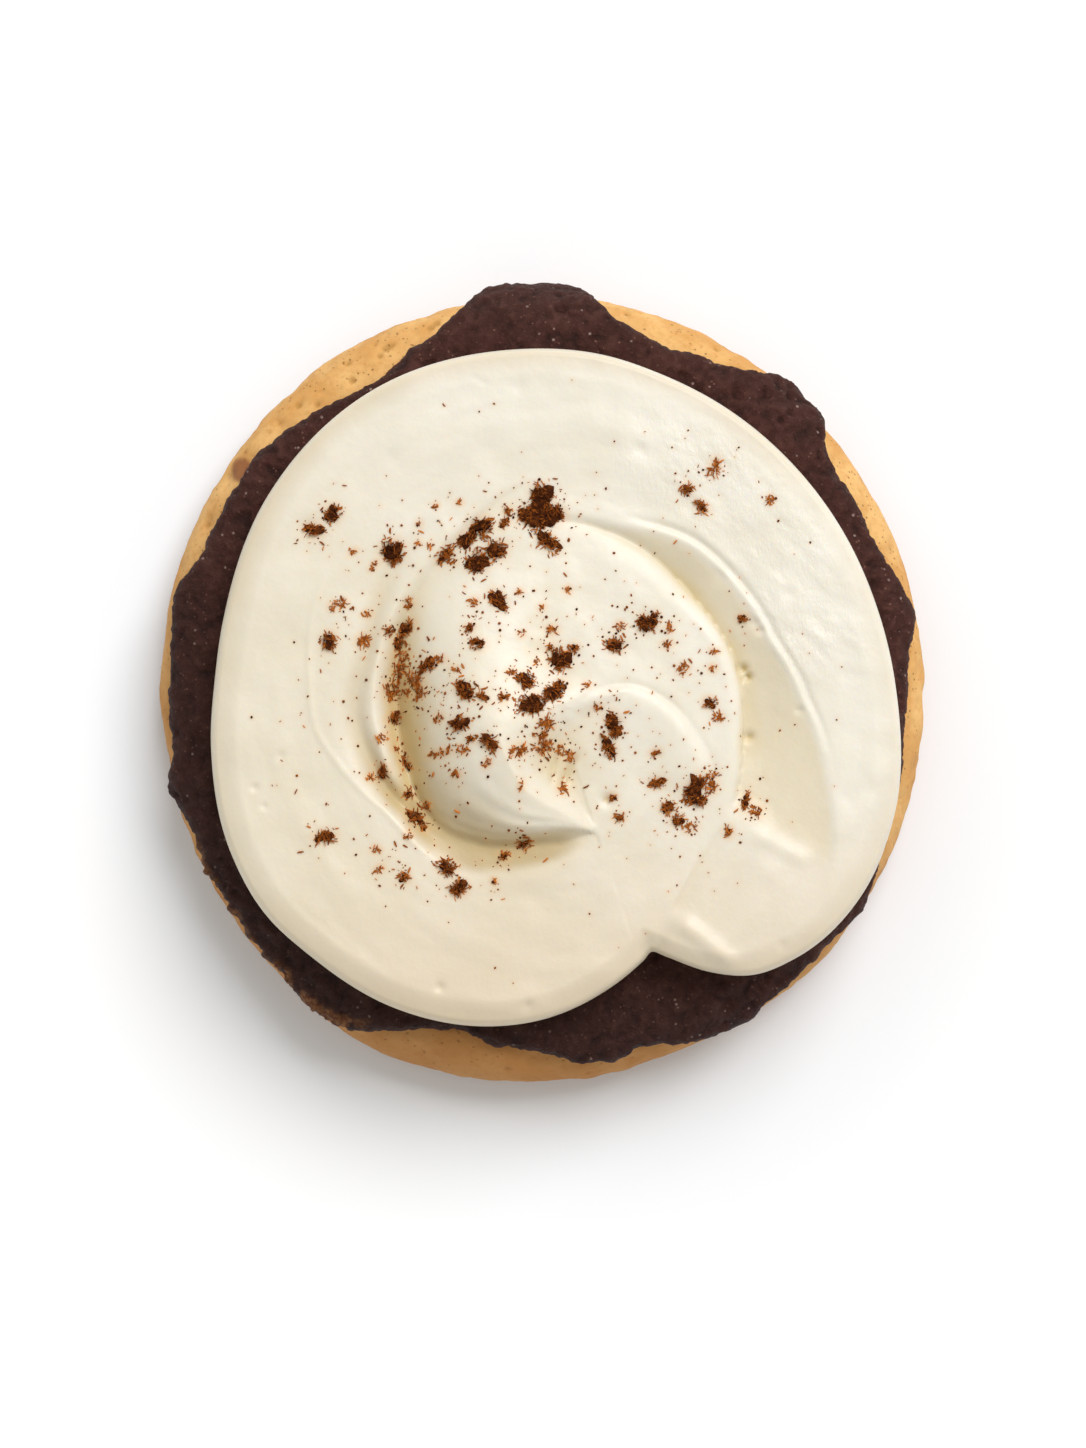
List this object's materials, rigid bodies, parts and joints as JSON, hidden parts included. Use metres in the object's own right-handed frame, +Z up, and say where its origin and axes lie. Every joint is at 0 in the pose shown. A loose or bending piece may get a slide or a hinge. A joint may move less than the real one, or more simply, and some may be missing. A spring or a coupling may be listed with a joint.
{
  "type": "cinnamon cookie",
  "caption": "Round frosted cookie for eating: a thick baked disc, a dark cinnamon spread lapping over its rim, and swirled cream frosting drawn out into a point.",
  "frame": {"origin": "on the flat underside, below the middle of the cookie", "axes": "+Z up out of the frosting, +Y towards the top of the picture and +X towards its right side"},
  "size_m": [0.0985, 0.1033, 0.0295],
  "materials": {
    "baked_biscuit": "golden-tan baked dough, matt and finely pored",
    "cinnamon_spread": "very dark brown grainy spread, satin-matt",
    "cream_frosting": "smooth ivory frosting, soft satin",
    "ground_cinnamon": "dry brown powder in crumbly clumps and specks"
  },
  "bodies": {
    "root": {"biscuit": "baked_biscuit", "cinnamon_spread": "cinnamon_spread", "cream_frosting": "cream_frosting"}
  },
  "joints": []
}
